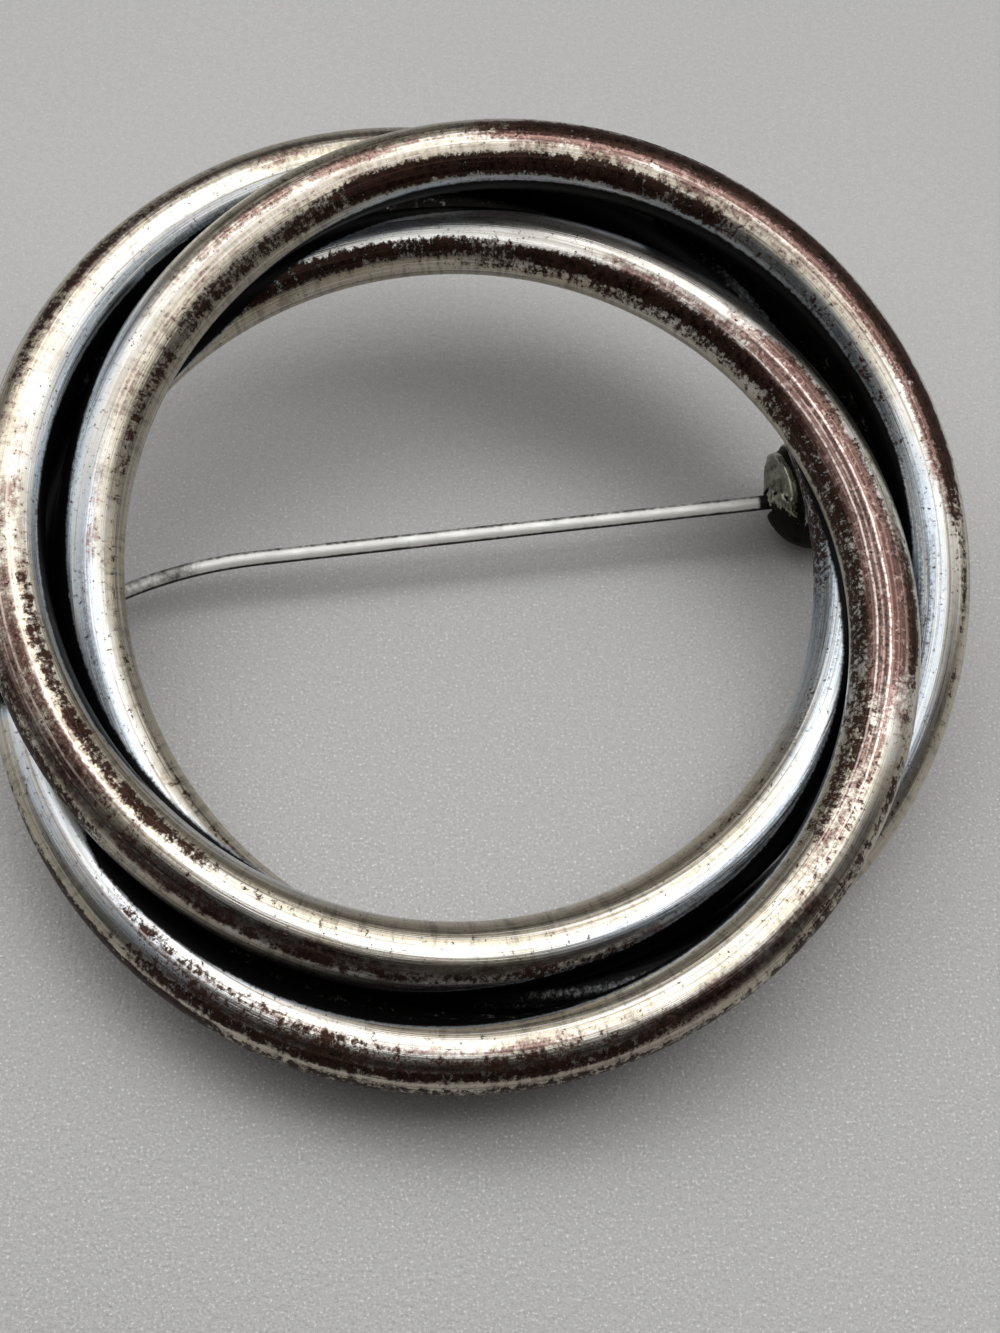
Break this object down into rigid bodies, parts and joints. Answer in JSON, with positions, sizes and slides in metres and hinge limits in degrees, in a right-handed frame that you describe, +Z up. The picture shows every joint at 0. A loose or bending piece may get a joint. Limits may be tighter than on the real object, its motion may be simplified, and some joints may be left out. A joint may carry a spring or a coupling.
{
  "type": "circle brooch",
  "caption": "Circle brooch of interlocked round tube rings in worn silver plate, with a ball-jointed pin stem and a C-shaped catch on the back.",
  "frame": {"origin": "bottom centre of the brooch's bounding box, on the surface that it lies on", "axes": "+Z up, away from the surface, with the brooch lying face up on its ball joint, its catch and its lower rim; +X towards the ball joint; +Y towards the raised rim, which is the top of the picture"},
  "size_m": [0.0402, 0.0406, 0.0137],
  "materials": {
    "worn_silver_plate": "satin silver plate, worn and tarnished brown and black in the grooves",
    "rivet_steel": "dull",
    "pin_nickel_silver": "drawn wire, lightly dulled"
  },
  "bodies": {
    "brooch": {"ring_frame": "worn_silver_plate", "hinge_rivet": "rivet_steel"},
    "pin": {"pin_stem": "pin_nickel_silver"}
  },
  "joints": [
    {"name": "pin_swing", "type": "hinge", "parent": "brooch", "child": "pin", "pos_m": [0.01528, 0.00649, 0.0023], "axis": [0.1291, -0.9726, -0.1932], "range_deg": [0, 100]}
  ]
}
